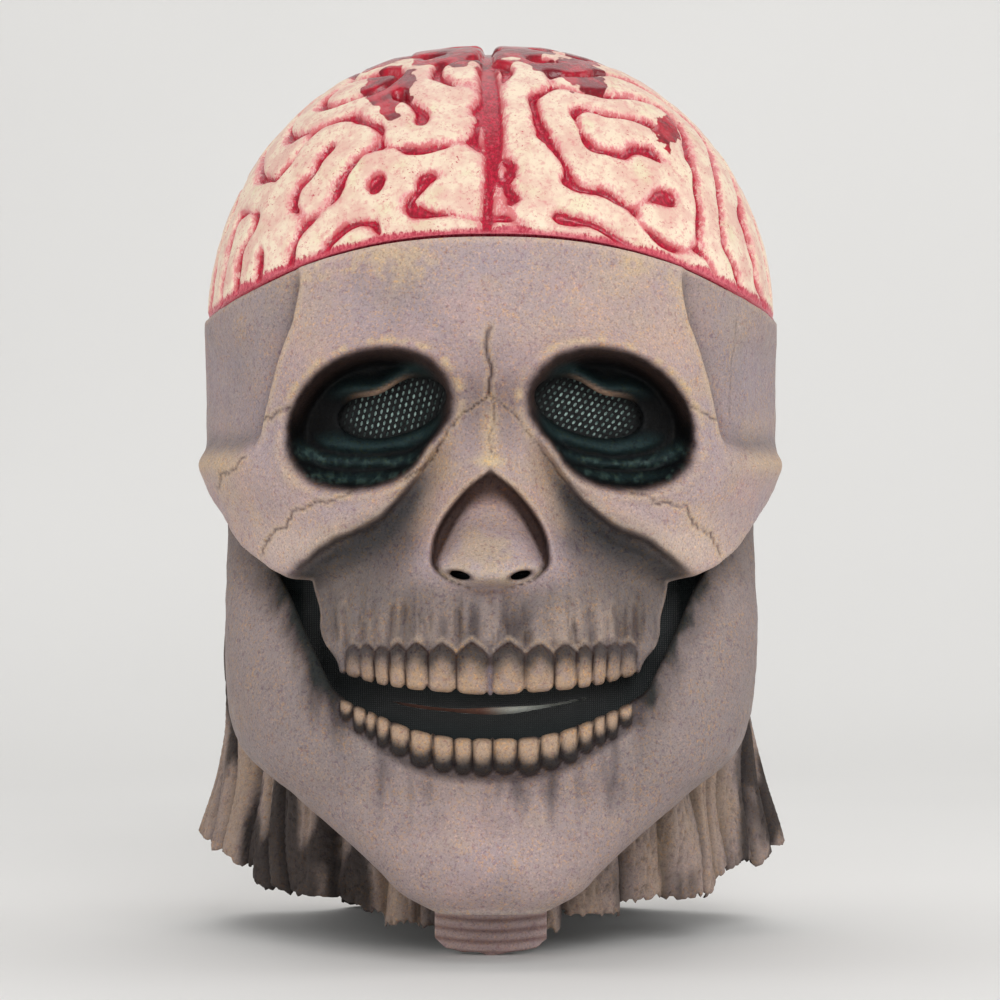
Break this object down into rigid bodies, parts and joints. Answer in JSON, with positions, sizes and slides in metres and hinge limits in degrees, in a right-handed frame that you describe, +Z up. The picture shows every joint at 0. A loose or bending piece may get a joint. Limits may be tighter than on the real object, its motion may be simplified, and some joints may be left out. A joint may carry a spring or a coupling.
{
  "type": "latex halloween mask",
  "caption": "Full-head latex skull mask with exposed brain, hinged jaw, pleated neck sleeve, see-through eye meshes and inner fitting band.",
  "frame": {"origin": "middle of the mask seen from above, level with the lowest hem", "axes": "+Z up, the face looks along -Y, +X is the wearer's left"},
  "size_m": [0.2268, 0.2264, 0.3389],
  "materials": {
    "skull_latex": "matte",
    "brain_latex": "satin",
    "jaw_latex": "matte",
    "neck_latex": "matte",
    "eye_fabric": "matte",
    "liner_fabric": "matte",
    "hinge_plastic": "satin",
    "rivet_steel": "satin",
    "elastic_webbing": "matte",
    "foam": "matte"
  },
  "bodies": {
    "head": {"skull_shell": "skull_latex", "brain_cap": "brain_latex", "neck_drape": "neck_latex", "throat_panel": "neck_latex", "eye_mesh_left": "eye_fabric", "eye_mesh_right": "eye_fabric", "mouth_liner_upper": "liner_fabric", "hinge_plate_left": "hinge_plastic", "hinge_plate_right": "hinge_plastic", "hinge_rivet_left": "rivet_steel", "hinge_rivet_right": "rivet_steel", "hinge_cap_left": "hinge_plastic", "hinge_cap_right": "hinge_plastic", "jaw_elastic_left": "elastic_webbing", "jaw_elastic_right": "elastic_webbing", "forehead_pad": "foam", "crown_pad": "foam", "back_pad": "foam", "temple_pad_left": "foam", "temple_pad_right": "foam", "head_strap": "elastic_webbing", "strap_anchor_left": "hinge_plastic", "strap_anchor_right": "hinge_plastic"},
    "jaw": {"jaw_shell": "jaw_latex", "mouth_liner_lower": "liner_fabric", "chin_cup": "foam", "ramus_plate_left": "hinge_plastic", "ramus_plate_right": "hinge_plastic"},
    "slider": {"strap_slider": "hinge_plastic"}
  },
  "joints": [
    {"name": "jaw_hinge", "type": "hinge", "parent": "head", "child": "jaw", "pos_m": [0, 0.01, 0.19], "axis": [1, 0, 0], "range_deg": [-4.5, 10], "deforming": ["jaw_elastic_left", "jaw_elastic_right"]},
    {"name": "strap_adjust", "type": "slide", "parent": "head", "child": "slider", "axis": [1, 0, 0], "range_m": [-0.02, 0.02]}
  ]
}
